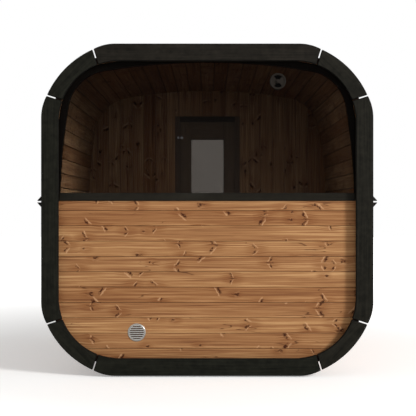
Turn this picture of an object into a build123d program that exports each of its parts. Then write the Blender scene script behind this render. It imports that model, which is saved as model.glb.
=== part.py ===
from build123d import *
from math import atan2, ceil, cos, floor, hypot, pi, radians, sin, sqrt
import os

# Outdoor sauna cabin: a square barrel of thermally treated staves, held by steel
# hoops, with a half-height window in one end wall and a door in the other.
# Millimetres. X runs to the right and Y away from someone facing the window, Z up.
# The origin is on the ground, under the middle of the cabin.

# Overall
cabin_length = 2200.0
trim_above_ground = 8.0
fit_gap = 0.3

# Barrel wall: staves on a square with bowed sides and round corners
stave_thickness = 44.0
inner_half_width = 1082.0
side_radius = 4350.0
corner_radius = 343.0
stave_width = 107.0
croze_depth = 10.0

# Trim ring nailed over the stave ends, eight boards at each end
trim_overhang = 24.0
trim_width = 120.0
trim_thickness = 28.0
trim_inner_radius = 420.0
trim_flat_setback = 512.7
trim_end_radius = 320.0
trim_end_sweep = 28.76
trim_corner_radius = 630.0
trim_joint_tilt = 17.5
trim_joint_gap = 9.0

# End walls
wall_recess = 60.0
wall_thickness = 44.0

# Window over the rail
rail_above_axis = 62.0
rail_height = 55.0
rail_proud = 8.0
window_frame_width = 50.0
frame_corner_lap = 19.0
glass_thickness = 8.0
glass_setback = 12.0
glass_bite = 10.0

# Round vent through the glass
window_vent_from_side = 588.0
window_vent_from_top = 184.0
window_vent_radius = 57.0
window_vent_neck = 50.0
window_vent_flange = 6.0
window_vent_hub = 11.0
window_vent_knob = 9.0
window_vent_slot_inner = 15.0
window_vent_slot_outer = 43.0
window_vent_slot_half_angle = 40.0

# Louvred vent through the boarded wall
wall_vent_from_side = 590.0
wall_vent_above_floor = 151.0
wall_vent_radius = 63.0
wall_vent_sleeve = 51.0
wall_vent_sleeve_wall = 1.5
wall_vent_rim = 8.0
wall_vent_flange = 4.0
wall_vent_slats = 7
wall_vent_slat_height = 7.0

# Door frame and door
door_frame_width = 590.0
wall_over_door = 233.0
door_jamb = 35.0
door_head = 40.0
door_sill_top = 157.0
door_sill_height = 40.0
door_frame_inside = 12.0
door_frame_outside = 4.0
door_stop_width = 12.0
door_stop_depth = 15.0
door_gap = 5.0
door_thickness = 40.0
door_stile = 108.0
door_rail = 167.0
door_glass_thickness = 6.0

# Lift-off hinges on the outer face of the door
hinge_from_top = 217.0
hinge_from_bottom = 158.0
hinge_height = 100.0
hinge_plate_width = 34.0
hinge_plate_thickness = 3.0
hinge_knuckle_radius = 7.0
hinge_axis_proud = 8.0
hinge_pin_radius = 3.5
hinge_pin_clearance = 0.1
hinge_pin_tip = 5.0

# Pull handles
handle_length = 260.0
handle_width = 28.0
handle_depth = 22.0
handle_standoff = 26.0
handle_post = 22.0
handle_post_inset = 35.0
handle_height = 1075.0

# Floor
floor_top = 150.0
floor_thickness = 28.0
floor_edge_gap = 11.0
floor_end_gap = 6.0
bearer_half_length = 520.0
bearer_width = 45.0
bearer_from_wall = 196.0

# Cradles under the barrel
cradle_half_length = 670.0
cradle_width = 95.0
cradle_from_end = 115.0
cradle_count = 4

# Hoops, their brackets and bolts
hoop_from_end = 220.0
hoop_width = 30.0
hoop_thickness = 1.2
bracket_above_axis = 57.0
bracket_reach = 85.0
bracket_rise = 95.0
bracket_plate = 5.0
bracket_cheek = 3.0
bracket_gap = 10.0
bolt_radius = 5.0
bolt_out = 55.0
bolt_half_length = 45.0
nut_radius = 9.0
nut_height = 8.0

# Places that follow from the sizes above
half_length = cabin_length / 2
trim_half = inner_half_width + stave_thickness + trim_overhang
centre_z = trim_above_ground + trim_half
outside = 2 * trim_half
stave_half_length = half_length - trim_thickness
wall_outer_y = half_length - wall_recess
wall_inner_y = wall_outer_y - wall_thickness
wall_mid_y = (wall_outer_y + wall_inner_y) / 2
rail_bottom = centre_z + rail_above_axis
rail_top = rail_bottom + rail_height
window_vent_x = inner_half_width - window_vent_from_side
window_vent_z = centre_z + inner_half_width - window_vent_from_top
wall_vent_x = wall_vent_from_side - inner_half_width
wall_vent_z = floor_top + wall_vent_above_floor
door_frame_top = centre_z + inner_half_width - wall_over_door
bracket_height = centre_z + bracket_above_axis
hoop_spacing = half_length - hoop_from_end
bearer_spacing = wall_inner_y - bearer_from_wall


def turn(point, quarter):
    """A point (x, z) about the barrel's axis, turned by quarters of a turn."""
    x, z = point
    for _ in range(quarter % 4):
        x, z = -z, x
    return x, z


def bowed_square(offset=0.0):
    """Sizes of the barrel's inner outline, moved outwards by offset: half width,
    side radius, corner radius, place of the corner's centre, side's half angle."""
    half = inner_half_width + offset
    side = side_radius + offset
    corner = corner_radius + offset
    back = side - half
    centre = (-back + sqrt(2 * (side - corner) ** 2 - back**2)) / 2
    return half, side, corner, centre, atan2(centre, back + centre)


def outline_point(length):
    """A point (x, z) on the inner outline, that far along it from mid-side."""
    half, side, corner, centre, half_angle = bowed_square()
    straight = side * half_angle
    bend = corner * (pi / 2 - 2 * half_angle)
    if length <= straight:
        angle = length / side
        return side * cos(angle) - (side - half), side * sin(angle)
    if length <= straight + bend:
        angle = half_angle + (length - straight) / corner
        return centre + corner * cos(angle), centre + corner * sin(angle)
    angle = (2 * straight + bend - length) / side
    return side * sin(angle), side * cos(angle) - (side - half)


def half_width_at(z):
    """The barrel's inner half width where its lower or upper side is at that height."""
    _, side, _, _, _ = bowed_square()
    return sqrt(side**2 - (abs(z - centre_z) + side - inner_half_width) ** 2)


def stave_joints():
    """The joints between staves on the inner face, from just above mid-side, with
    how many staves make a side and a corner."""
    _, side, corner, _, half_angle = bowed_square()
    quarter = 2 * side * half_angle + corner * (pi / 2 - 2 * half_angle)
    beside_middle = floor(side * half_angle / stave_width - 1 / 2)
    reach = stave_width * (beside_middle + 1 / 2)
    per_corner = ceil((quarter - 2 * reach) / stave_width)
    step = (quarter - 2 * reach) / per_corner
    places = [reach - stave_width * n for n in range(beside_middle + 1)][::-1]
    lengths = places + [reach + step * n for n in range(1, per_corner)]
    lengths += [quarter - place for place in reversed(places)]
    first = [outline_point(length) for length in lengths]
    ring = [turn(point, quarter_turn) for quarter_turn in range(4) for point in first]
    return ring, 2 * beside_middle + 1, per_corner


def moved_out(points, distance):
    """A closed outline of flat facets, moved outwards with its corners kept sharp."""
    moved = []
    for before, here, after in zip(points[-1:] + points[:-1], points, points[1:] + points[:1]):
        normals = []
        for start, end in ((before, here), (here, after)):
            span = hypot(end[0] - start[0], end[1] - start[1])
            normals.append(((end[1] - start[1]) / span, (start[0] - end[0]) / span))
        (ax, az), (bx, bz) = normals
        share = distance / (1 + ax * bx + az * bz)
        moved.append((here[0] + (ax + bx) * share, here[1] + (az + bz) * share))
    return moved


def prism(points, start_y, end_y):
    """A solid of the outline (x, z about the barrel's axis), from one Y to another."""
    corners = [(x, start_y, z + centre_z) for x, z in points]
    face = Face(Wire.make_polygon(corners, close=True))
    return extrude(face, amount=end_y - start_y, dir=(0, 1, 0))


def block(x_span, y_span, z_span):
    """A box between two corners, given as three pairs."""
    spans = [(min(s), max(s)) for s in (x_span, y_span, z_span)]
    low = Vector(*[s[0] for s in spans])
    size = [s[1] - s[0] for s in spans]
    return Pos(low) * Box(*size, align=(Align.MIN, Align.MIN, Align.MIN))


def rod(radius, x, z, start_y, end_y):
    """A round bar along Y."""
    middle = (start_y + end_y) / 2
    return Pos(x, middle, z) * Rot(90, 0, 0) * Cylinder(radius, abs(end_y - start_y))


def upright(radius, x, y, start_z, end_z):
    """A round bar along Z."""
    return Pos(x, y, (start_z + end_z) / 2) * Cylinder(radius, end_z - start_z)


joints, staves_per_side, staves_per_corner = stave_joints()
staves_per_quarter = len(joints) // 4
outer_joints = moved_out(joints, stave_thickness)


def barrel_disc(offset, start_y, end_y):
    """A filled slice of the barrel, its outline moved out from the staves' inner face."""
    return prism(moved_out(joints, offset), start_y, end_y)


def stave_group(first, count):
    """Staves side by side from one joint on, grooved near both ends for the end walls."""
    picked = [(first + n) % len(joints) for n in range(count + 1)]
    outline = [joints[n] for n in picked] + [outer_joints[n] for n in reversed(picked)]
    staves = prism(outline, -stave_half_length, stave_half_length)
    for sign in (-1, 1):
        near = sign * (wall_inner_y - fit_gap)
        far = sign * (wall_outer_y + fit_gap)
        staves -= barrel_disc(croze_depth, min(near, far), max(near, far))
    return staves


def make_barrel():
    """Four bowed sides and four round corners of staves."""
    sides = ("right_staves", "roof_staves", "left_staves", "floor_staves")
    corners = ("upper_right", "upper_left", "lower_left", "lower_right")
    half_side = (staves_per_side + 1) // 2
    parts = {}
    for quarter, (side, corner) in enumerate(zip(sides, corners)):
        start = quarter * staves_per_quarter
        parts[side] = stave_group(start - half_side, staves_per_side)
        corner_start = start + half_side - 1
        parts[corner + "_corner_staves"] = stave_group(corner_start, staves_per_corner)
    return parts


def trim_outer_wire(y):
    """The trim ring's outer edge: flat sides, a tight bend, then a wide corner bend."""
    flat_end = trim_half - trim_flat_setback
    sweep = radians(trim_end_sweep)
    middle, joint = (
        (
            trim_half - trim_end_radius * (1 - cos(angle)),
            flat_end + trim_end_radius * sin(angle),
        )
        for angle in (sweep / 2, sweep)
    )
    spread = sqrt(2 * trim_corner_radius**2 - (joint[0] - joint[1]) ** 2)
    centre = (joint[0] + joint[1] - spread) / 2
    diagonal = centre + trim_corner_radius * cos(pi / 4)
    corner = [(trim_half, flat_end), middle, joint, (diagonal, diagonal)]
    edges = []
    corner += [(z, x) for x, z in reversed(corner[:3])]
    for quarter in range(4):
        here = [turn(p, quarter) for p in corner]
        following = turn(corner[0], quarter + 1)
        at = [(x, y, z + centre_z) for x, z in here + [following]]
        edges.append(Edge.make_three_point_arc(at[0], at[1], at[2]))
        edges.append(Edge.make_three_point_arc(at[2], at[3], at[4]))
        edges.append(Edge.make_three_point_arc(at[4], at[5], at[6]))
        edges.append(Edge.make_line(at[6], at[7]))
    return Wire(edges), joint


def trim_inner_wire(y):
    """The trim ring's inner edge: flat sides with round corners."""
    half = trim_half - trim_width
    flat = half - trim_inner_radius
    diagonal = flat + trim_inner_radius * cos(pi / 4)
    corner = [(half, flat), (diagonal, diagonal), (flat, half)]
    edges = []
    for quarter in range(4):
        here = [turn(p, quarter) for p in corner] + [turn(corner[0], quarter + 1)]
        at = [(x, y, z + centre_z) for x, z in here]
        edges.append(Edge.make_three_point_arc(at[0], at[1], at[2]))
        edges.append(Edge.make_line(at[2], at[3]))
    return Wire(edges)


def joint_slot(joint, angle):
    """The open slot between two trim boards, from outside the ring to inside it."""
    reach = 3 * trim_width
    wide = trim_joint_gap / 2
    along = (cos(radians(angle)), sin(radians(angle)))
    return [
        (joint[0] + s * along[0] - t * along[1], joint[1] + s * along[1] + t * along[0])
        for s, t in ((-reach, wide), (-reach, -wide), (reach, -wide), (reach, wide))
    ]


def make_trim(name, start_y):
    """One end's ring of eight trim boards: four straight ones and four corners."""
    end_y = start_y + trim_thickness
    outer, joint = trim_outer_wire(start_y)
    ring = extrude(Face(outer), amount=trim_thickness, dir=(0, 1, 0))
    ring -= extrude(Face(trim_inner_wire(start_y)), amount=trim_thickness, dir=(0, 1, 0))
    for quarter in range(4):
        for place, angle in ((joint, trim_joint_tilt), (joint[::-1], 90 - trim_joint_tilt)):
            slot = joint_slot(place, angle)
            ring -= prism([turn(p, quarter) for p in slot], start_y, end_y)
    boards = {"top": [], "bottom": [], "left": [], "right": [], "corners": []}
    for board in ring.solids():
        middle = board.center()
        x, z = middle.X, middle.Z - centre_z
        if min(abs(x), abs(z)) > trim_half / 2:
            boards["corners"].append(board)
        elif abs(z) > abs(x):
            boards["top" if z > 0 else "bottom"].append(board)
        else:
            boards["right" if x > 0 else "left"].append(board)
    return {f"{name}_trim_{side}": Compound(children=found) for side, found in boards.items()}


def smooth_opening(offset, start_y, end_y):
    """A slice with the barrel's bowed square outline, in true arcs."""
    half, side, corner, centre, half_angle = bowed_square(offset)
    bend = [
        (centre + corner * cos(angle), centre + corner * sin(angle))
        for angle in (half_angle, pi / 4, pi / 2 - half_angle)
    ]
    edges = []
    for quarter in range(4):
        points = [turn(p, quarter) for p in bend]
        points += [turn((0.0, half), quarter), turn(bend[0], quarter + 1)]
        at = [(x, start_y, z + centre_z) for x, z in points]
        edges.append(Edge.make_three_point_arc(at[0], at[1], at[2]))
        edges.append(Edge.make_three_point_arc(at[2], at[3], at[4]))
    return extrude(Face(Wire(edges)), amount=end_y - start_y, dir=(0, 1, 0))


def wall_blank(sign):
    """The whole end wall before it is divided, seated in the staves' groove."""
    faces = (sign * wall_inner_y, sign * wall_outer_y)
    return barrel_disc(croze_depth - fit_gap, min(faces), max(faces))


def make_window_wall():
    """Boarded lower wall, rail, bowed window frame, tinted pane and the two vents."""
    face_y = -wall_outer_y
    back_y = -wall_inner_y
    wide = (-trim_half, trim_half)
    blank = wall_blank(-1)
    hole = rod(wall_vent_sleeve + fit_gap, wall_vent_x, wall_vent_z, face_y, back_y)
    lower = blank & block(wide, (face_y, back_y), (0, rail_bottom))
    parts = {"rear_wall": lower - hole}

    glass_y = (face_y + glass_setback, face_y + glass_setback + glass_thickness)
    groove_y = (glass_y[0] - fit_gap, glass_y[1] + fit_gap)
    groove = smooth_opening(glass_bite + fit_gap - window_frame_width, *groove_y)
    groove &= block(wide, groove_y, (rail_top - glass_bite - fit_gap, outside))
    rail = blank & block(wide, (face_y, back_y), (rail_bottom, rail_top))
    nose_half = inner_half_width - window_frame_width - fit_gap
    rail += block(
        (-nose_half, nose_half), (face_y - rail_proud, face_y), (rail_bottom, rail_top)
    )
    parts["window_rail"] = rail - groove

    frame = blank & block(wide, (face_y, back_y), (rail_top, outside))
    frame -= smooth_opening(-window_frame_width, face_y, back_y)
    frame -= groove
    split = bowed_square()[3] + frame_corner_lap
    split_z = centre_z + split
    across = (-split, split)
    deep = (face_y, back_y)
    tall = (split_z, outside)
    left = (-trim_half, -split)
    right = (split, trim_half)
    parts["window_frame_top"] = frame & block(across, deep, tall)
    parts["window_frame_left"] = frame & block(left, deep, (rail_top, split_z))
    parts["window_frame_right"] = frame & block(right, deep, (rail_top, split_z))
    bends = [frame & block(side, deep, tall) for side in (left, right)]
    parts["window_frame_corners"] = Compound(children=[b.solids()[0] for b in bends])

    pane = smooth_opening(glass_bite - window_frame_width, *glass_y)
    pane &= block(wide, glass_y, (rail_top - glass_bite, outside))
    pane -= rod(window_vent_neck, window_vent_x, window_vent_z, *glass_y)
    parts["window_glass"] = pane
    parts["window_vent"] = make_window_vent(glass_y)
    parts["wall_vent"] = make_wall_vent(face_y, back_y)
    return parts


def vent_slot(turned, start_y, end_y):
    """A ring sector of the round vent, open for air."""
    sweep = radians(window_vent_slot_half_angle)
    middle = radians(turned)
    angles = [middle - sweep, middle, middle + sweep]
    rows = []
    for radius in (window_vent_slot_inner, window_vent_slot_outer):
        rows.append([(radius * cos(a), start_y, radius * sin(a)) for a in angles])
    inner, outer = rows
    edges = [
        Edge.make_three_point_arc(*inner),
        Edge.make_line(inner[2], outer[2]),
        Edge.make_three_point_arc(outer[2], outer[1], outer[0]),
        Edge.make_line(outer[0], inner[0]),
    ]
    return extrude(Face(Wire(edges)), amount=end_y - start_y, dir=(0, 1, 0))


def make_window_vent(glass_y):
    """A round valve clamped through the pane, with two sector slots and a knob."""
    front = glass_y[0] - fit_gap
    back = glass_y[1] + fit_gap
    x, z = window_vent_x, window_vent_z
    vent = rod(window_vent_radius, x, z, front - window_vent_flange, front)
    vent += rod(window_vent_neck - fit_gap, x, z, front, back)
    vent += rod(window_vent_radius, x, z, back, back + window_vent_flange)
    vent += rod(window_vent_hub, x, z, front - window_vent_flange - window_vent_knob, front)
    for turned in (90, 270):
        slot = vent_slot(turned, front - window_vent_flange, back + window_vent_flange)
        vent -= Pos(x, 0, z) * slot
    return vent


def make_wall_vent(face_y, back_y):
    """A round louvre plate with its sleeve through the wall."""
    x, z = wall_vent_x, wall_vent_z
    front = face_y - wall_vent_flange
    plate_back = face_y - fit_gap
    bore = wall_vent_sleeve - wall_vent_sleeve_wall
    opening = wall_vent_radius - wall_vent_rim
    plate = rod(wall_vent_radius, x, z, front, plate_back)
    plate -= rod(opening, x, z, front, plate_back)
    pitch = 2 * opening / wall_vent_slats
    wide = (x - opening, x + opening)
    for n in range(wall_vent_slats):
        low = z - opening + pitch * (n + 1 / 2) - wall_vent_slat_height / 2
        bar = block(wide, (front, plate_back), (low, low + wall_vent_slat_height))
        plate += bar & rod(opening + fit_gap, x, z, front, plate_back)
    collar = rod(wall_vent_radius, x, z, plate_back, face_y)
    collar += rod(wall_vent_sleeve, x, z, face_y, back_y)
    collar -= rod(bore, x, z, plate_back, back_y)
    return plate + collar


def make_front_wall():
    """The door wall: boards to the left, to the right and over the door frame."""
    blank = wall_blank(1)
    deep = (wall_inner_y, wall_outer_y)
    side = door_frame_width / 2
    left = (-trim_half, -side)
    right = (side, trim_half)
    over = (door_frame_top, outside)
    return {
        "front_wall_left": blank & block(left, deep, (0, outside)),
        "front_wall_right": blank & block(right, deep, (0, outside)),
        "front_wall_over_door": blank & block((-side, side), deep, over),
    }


def make_door_frame():
    """Sill, two jambs and a head, each with a stop that the door closes towards."""
    inner = wall_inner_y - door_frame_inside
    outer = wall_outer_y + door_frame_outside
    deep = (inner, outer)
    stop = (inner, inner + door_stop_depth)
    side = door_frame_width / 2
    clear = side - door_jamb
    head_bottom = door_frame_top - door_head
    parts = {}
    for name, sign in (("door_hinge_jamb", -1), ("door_latch_jamb", 1)):
        jamb = block((sign * side, sign * clear), deep, (door_sill_top, door_frame_top))
        lip = (sign * clear, sign * (clear - door_stop_width))
        parts[name] = jamb + block(lip, stop, (door_sill_top, door_frame_top))
    between = (-clear, clear)
    inside_stops = (door_stop_width - clear, clear - door_stop_width)
    head = block(between, (stop[1], outer), (head_bottom, door_frame_top))
    stop_low = head_bottom - door_stop_width
    head += block(inside_stops, stop, (stop_low, door_frame_top))
    parts["door_head"] = head
    wall_y = (wall_inner_y, wall_outer_y)
    sill = wall_blank(1) & block((-side, side), wall_y, (0, door_sill_top))
    sill += block(between, deep, (door_sill_top - door_sill_height, door_sill_top))
    sill += block(inside_stops, stop, (door_sill_top, door_sill_top + door_stop_width))
    parts["door_sill"] = sill
    return parts


def make_door():
    """Stiles, rails, the long pane and a pull handle on each side."""
    outer = wall_outer_y + door_frame_outside
    deep = (outer - door_thickness, outer)
    half = door_frame_width / 2 - door_jamb - door_gap
    sight = half - door_stile
    low = door_sill_top + door_gap
    high = door_frame_top - door_head - door_gap
    glass_low = low + door_rail
    glass_high = high - door_rail
    middle = (deep[0] + deep[1]) / 2
    pane_y = (middle - door_glass_thickness / 2, middle + door_glass_thickness / 2)
    groove_y = (pane_y[0] - fit_gap, pane_y[1] + fit_gap)
    pane_x = sight + glass_bite
    pane_z = (glass_low - glass_bite, glass_high + glass_bite)
    groove_x = (-pane_x - fit_gap, pane_x + fit_gap)
    groove = block(groove_x, groove_y, (pane_z[0] - fit_gap, pane_z[1] + fit_gap))
    parts = {
        "door_hinge_stile": block((-half, -sight), deep, (low, high)) - groove,
        "door_latch_stile": block((sight, half), deep, (low, high)) - groove,
        "door_top_rail": block((-sight, sight), deep, (glass_high, high)) - groove,
        "door_bottom_rail": block((-sight, sight), deep, (low, glass_low)) - groove,
        "door_glass": block((-pane_x, pane_x), pane_y, pane_z),
    }
    handle_x = half - door_stile / 2
    parts["door_handle_outside"] = pull_handle(handle_x, deep[1], 1)
    parts["door_handle_inside"] = pull_handle(handle_x, deep[0], -1)
    return parts


def pull_handle(x, face_y, sign):
    """A straight upright grip on two posts."""
    low = handle_height - handle_length / 2
    high = handle_height + handle_length / 2
    across = (x - handle_width / 2, x + handle_width / 2)
    grip_y = face_y + sign * handle_standoff
    handle = block(across, (grip_y, grip_y + sign * handle_depth), (low, high))
    for z in (low + handle_post_inset, high - handle_post_inset):
        span = (z - handle_post / 2, z + handle_post / 2)
        post = (x - handle_post / 2, x + handle_post / 2)
        handle += block(post, (face_y, grip_y), span)
    return handle


def make_hinges():
    """Two lift-off hinges: the lower half and pin on the jamb, the upper on the door."""
    face_y = wall_outer_y + door_frame_outside
    axis_x = -(door_frame_width / 2 - door_jamb) + door_gap / 2
    axis_y = face_y + hinge_axis_proud
    plate_y = (face_y, face_y + hinge_plate_thickness)
    half = hinge_height / 2
    low = door_sill_top + hinge_from_bottom
    high = door_frame_top - hinge_from_top
    frame_halves, door_halves = [], []
    for z in (low, high):
        plate_edge = axis_x - door_gap / 2
        lower = block((plate_edge - hinge_plate_width, axis_x), plate_y, (z - half, z - fit_gap))
        lower += upright(hinge_knuckle_radius, axis_x, axis_y, z - half, z - fit_gap)
        lower += upright(hinge_pin_radius, axis_x, axis_y, z - half, z + half - hinge_pin_tip)
        frame_halves.append(lower)
        door_edge = axis_x + door_gap / 2
        upper = block((axis_x, door_edge + hinge_plate_width), plate_y, (z, z + half))
        upper += upright(hinge_knuckle_radius, axis_x, axis_y, z, z + half)
        bore = hinge_pin_radius + hinge_pin_clearance
        upper -= upright(bore, axis_x, axis_y, z, z + half - hinge_pin_tip + fit_gap)
        door_halves.append(upper)
    return {
        "hinge_frame_halves": Compound(children=[h.solids()[0] for h in frame_halves]),
        "hinge_door_halves": Compound(children=[h.solids()[0] for h in door_halves]),
    }


def make_floor():
    """A flat deck on three bearers that are cut to the barrel."""
    ends = (-wall_inner_y + floor_end_gap, wall_inner_y - door_frame_inside - floor_end_gap)
    under = floor_top - floor_thickness
    half_width = half_width_at(under) - floor_edge_gap
    wide = (-half_width, half_width)
    inside = barrel_disc(0.0, -wall_inner_y, wall_inner_y)
    bearers = []
    for n in (-1, 0, 1):
        near = n * bearer_spacing - bearer_width / 2
        along = (-bearer_half_length, bearer_half_length)
        bearer = block(along, (near, near + bearer_width), (0, under)) & inside
        bearers.append(bearer.solids()[0])
    return {
        "floor_deck": block(wide, ends, (under, floor_top)),
        "floor_bearers": Compound(children=bearers),
    }


def hoop_places():
    """The Y spans of the three hoops."""
    half = hoop_width / 2
    return [(n * hoop_spacing - half, n * hoop_spacing + half) for n in (-1, 0, 1)]


def make_cradles():
    """Four cross beams on the ground, hollowed to carry the barrel and its hoops."""
    barrel = barrel_disc(stave_thickness, -half_length, half_length)
    for near, far in hoop_places():
        deep = (near - fit_gap, far + fit_gap)
        barrel += barrel_disc(stave_thickness + hoop_thickness + fit_gap, *deep)
    outermost = half_length - cradle_from_end
    step = 2 * outermost / (cradle_count - 1)
    beams = []
    for n in range(cradle_count):
        y = step * n - outermost
        deep = (y - cradle_width / 2, y + cradle_width / 2)
        beam = block((-cradle_half_length, cradle_half_length), deep, (0, centre_z / 2))
        edge_z = centre_z + bottom_outer_z(cradle_half_length)
        beam &= block((-trim_half, trim_half), deep, (0, edge_z))
        beams.append((beam - barrel).solids()[0])
    return {"cradles": Compound(children=beams)}


def bottom_outer_z(x):
    """How low the staves' outer face is at that x, from the barrel's axis."""
    _, side, _, _, _ = bowed_square(stave_thickness)
    half = inner_half_width + stave_thickness
    return -(sqrt(side**2 - x**2) - (side - half))


def make_hoops():
    """Three steel hoops in two halves, drawn together by a bolt on each side."""
    skin = stave_thickness + hoop_thickness
    wall_x = inner_half_width + stave_thickness
    bands, brackets, bolts = [], [], []
    for deep in hoop_places():
        y = sum(deep) / 2
        hoop = barrel_disc(skin, *deep) - barrel_disc(stave_thickness, *deep)
        gap = (bracket_height - bracket_gap / 2, bracket_height + bracket_gap / 2)
        hoop -= block((-trim_half, trim_half), deep, gap)
        bands += hoop.solids()
        seat = barrel_disc(skin, *deep)
        for sign in (-1, 1):
            for up in (-1, 1):
                brackets.append(tension_bracket(sign, up, y, wall_x, seat))
            bolts.append(tension_bolt(sign * (wall_x + bolt_out), y))
    return {
        "hoop_bands": Compound(children=bands),
        "hoop_brackets": Compound(children=brackets),
        "hoop_bolts": Compound(children=bolts),
    }


def tension_bracket(sign, up, y, wall_x, seat):
    """One welded bracket: foot on the band, flange for the bolt, two side cheeks."""
    flat = bracket_height + up * bracket_gap / 2
    flange_top = flat + up * bracket_plate
    top = flat + up * bracket_rise
    tip = wall_x + bracket_reach
    root = wall_x - stave_thickness / 2
    foot = wall_x + bracket_plate
    cheek = [(root, flat), (tip, flat), (tip, flange_top), (foot, top), (root, top)]
    cheek = [(sign * x, z - centre_z) for x, z in cheek]
    half = hoop_width / 2
    body = prism(cheek, y - half, y + half)
    inner = half - bracket_cheek
    beyond = wall_x + 2 * bracket_reach
    body -= block((sign * foot, sign * beyond), (y - inner, y + inner), (flange_top, top + up))
    low, high = min(flat, top), max(flat, top)
    body -= upright(bolt_radius + fit_gap, sign * (wall_x + bolt_out), y, low, high)
    return (body - seat).solids()[0]


def tension_bolt(x, y):
    """A threaded rod with a nut beyond each flange."""
    ends = (bracket_height - bolt_half_length, bracket_height + bolt_half_length)
    bolt = upright(bolt_radius, x, y, *ends)
    for up in (-1, 1):
        start = bracket_height + up * (bracket_gap / 2 + bracket_plate)
        middle = start + up * nut_height / 2
        hexagon = extrude(RegularPolygon(nut_radius, 6), amount=nut_height / 2, both=True)
        bolt += Pos(x, y, middle) * hexagon
    return bolt.solids()[0]


def main():
    os.makedirs("parts", exist_ok=True)
    parts = {}
    parts.update(make_barrel())
    parts.update(make_trim("rear", -half_length))
    parts.update(make_trim("front", half_length - trim_thickness))
    parts.update(make_window_wall())
    parts.update(make_front_wall())
    parts.update(make_door_frame())
    parts.update(make_door())
    parts.update(make_hinges())
    parts.update(make_floor())
    parts.update(make_cradles())
    parts.update(make_hoops())
    for name, shape in parts.items():
        export_step(shape, f"parts/{name}.step")
    print(len(parts), "nodes")


main()
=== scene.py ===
from math import atan2, pi, radians
from random import Random

import bpy
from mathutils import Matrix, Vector


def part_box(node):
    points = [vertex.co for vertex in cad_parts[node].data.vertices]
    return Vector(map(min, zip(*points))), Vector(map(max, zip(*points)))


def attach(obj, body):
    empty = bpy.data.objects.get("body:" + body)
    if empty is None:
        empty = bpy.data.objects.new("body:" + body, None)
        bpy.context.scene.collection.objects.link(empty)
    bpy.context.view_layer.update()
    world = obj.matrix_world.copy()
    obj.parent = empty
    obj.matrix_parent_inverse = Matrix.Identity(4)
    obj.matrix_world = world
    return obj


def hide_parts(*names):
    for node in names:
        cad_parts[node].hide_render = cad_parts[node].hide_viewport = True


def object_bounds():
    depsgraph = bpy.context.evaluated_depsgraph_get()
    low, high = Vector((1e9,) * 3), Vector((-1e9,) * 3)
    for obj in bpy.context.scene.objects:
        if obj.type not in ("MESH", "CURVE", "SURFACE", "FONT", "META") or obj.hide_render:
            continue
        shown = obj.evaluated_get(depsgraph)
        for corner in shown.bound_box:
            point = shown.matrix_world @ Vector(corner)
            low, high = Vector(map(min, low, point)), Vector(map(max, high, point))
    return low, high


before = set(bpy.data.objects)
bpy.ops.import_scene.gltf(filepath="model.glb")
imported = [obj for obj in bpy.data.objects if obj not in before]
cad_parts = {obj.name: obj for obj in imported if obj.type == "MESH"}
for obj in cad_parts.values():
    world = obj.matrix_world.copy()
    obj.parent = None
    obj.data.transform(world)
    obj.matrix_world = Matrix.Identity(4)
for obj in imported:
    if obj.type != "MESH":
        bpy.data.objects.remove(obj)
cad_low, cad_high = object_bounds()
bpy.ops.object.select_all(action="DESELECT")

# The barrel's wall is 72 pine staves, 44 mm thick, heat-treated to a warm brown and planed.
# They meet in tongue and groove, which shows as a narrow dark V between them on both faces,
# and nothing but the steel hoops draws them together.
BARREL_SIDES = (
    "right", "upper_right_corner", "roof", "upper_left_corner",
    "left", "lower_left_corner", "floor", "lower_right_corner",
)
GROOVE_DEPTH = 0.008
STAVE_GROOVE_HALF = 0.003
# The stave joints' bevels are darkened by this share: partly oil, partly painted shade in the
# groove.
STAVE_JOINT_OIL_AND_SHADE = 0.55
EASED_EDGE = 0.001
SMOOTHLY = {"interpolation_type": "SMOOTHSTEP"}
TO_THE_RIGHT = Vector((1, 0, 0))
TO_THE_BACK = Vector((0, 1, 0))
UPWARDS = Vector((0, 0, 1))

barrel_low, barrel_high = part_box("left_staves")[0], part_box("right_staves")[1]
axis_height = (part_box("rear_trim_top")[1].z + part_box("rear_trim_bottom")[0].z) / 2


def linear(colour):
    """An sRGB hex colour as the linear colour that a shader takes."""
    shares = [int(colour[start : start + 2], 16) / 255 for start in (1, 3, 5)]
    return [c / 12.92 if c <= 0.04045 else ((c + 0.055) / 1.055) ** 2.4 for c in shares] + [1.0]


def add_node(tree, kind, inputs=(), **settings):
    """Adds a node with its settings. Its inputs come in their order or by name, and each
    takes a plain value, another node's output or a whole node."""
    node = tree.nodes.new("ShaderNode" + kind)
    for name, value in settings.items():
        setattr(node, name, value)
    named = inputs if isinstance(inputs, dict) else dict(enumerate(inputs))
    for name, value in named.items():
        if isinstance(value, bpy.types.Node):
            value = next(output for output in value.outputs if output.enabled)
        if isinstance(value, bpy.types.NodeSocket):
            tree.links.new(value, node.inputs[name])
        else:
            node.inputs[name].default_value = value
    return node


def new_material(name):
    """A material whose node tree is empty, and that tree."""
    material = bpy.data.materials.new(name)
    material.use_nodes = True
    material.node_tree.nodes.clear()
    return material, material.node_tree


def only(*pieces):
    """Selects these pieces and nothing else, the first one active."""
    bpy.ops.object.select_all(action="DESELECT")
    for piece in pieces:
        piece.select_set(True)
    bpy.context.view_layer.objects.active = pieces[0]


def closed_copy(node):
    """A node's shape as a new closed mesh of whole faces."""
    piece = bpy.data.objects.new(node + "_blank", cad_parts[node].data.copy())
    bpy.context.collection.objects.link(piece)
    piece.data.materials.clear()
    only(piece)
    bpy.ops.object.mode_set(mode="EDIT")
    bpy.ops.mesh.select_all(action="SELECT")
    bpy.ops.mesh.customdata_custom_splitnormals_clear()
    bpy.ops.mesh.remove_doubles(threshold=0.00001)
    bpy.ops.mesh.dissolve_limited(angle_limit=radians(0.3))
    bpy.ops.mesh.faces_shade_flat()
    bpy.ops.object.mode_set(mode="OBJECT")
    return piece


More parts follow.
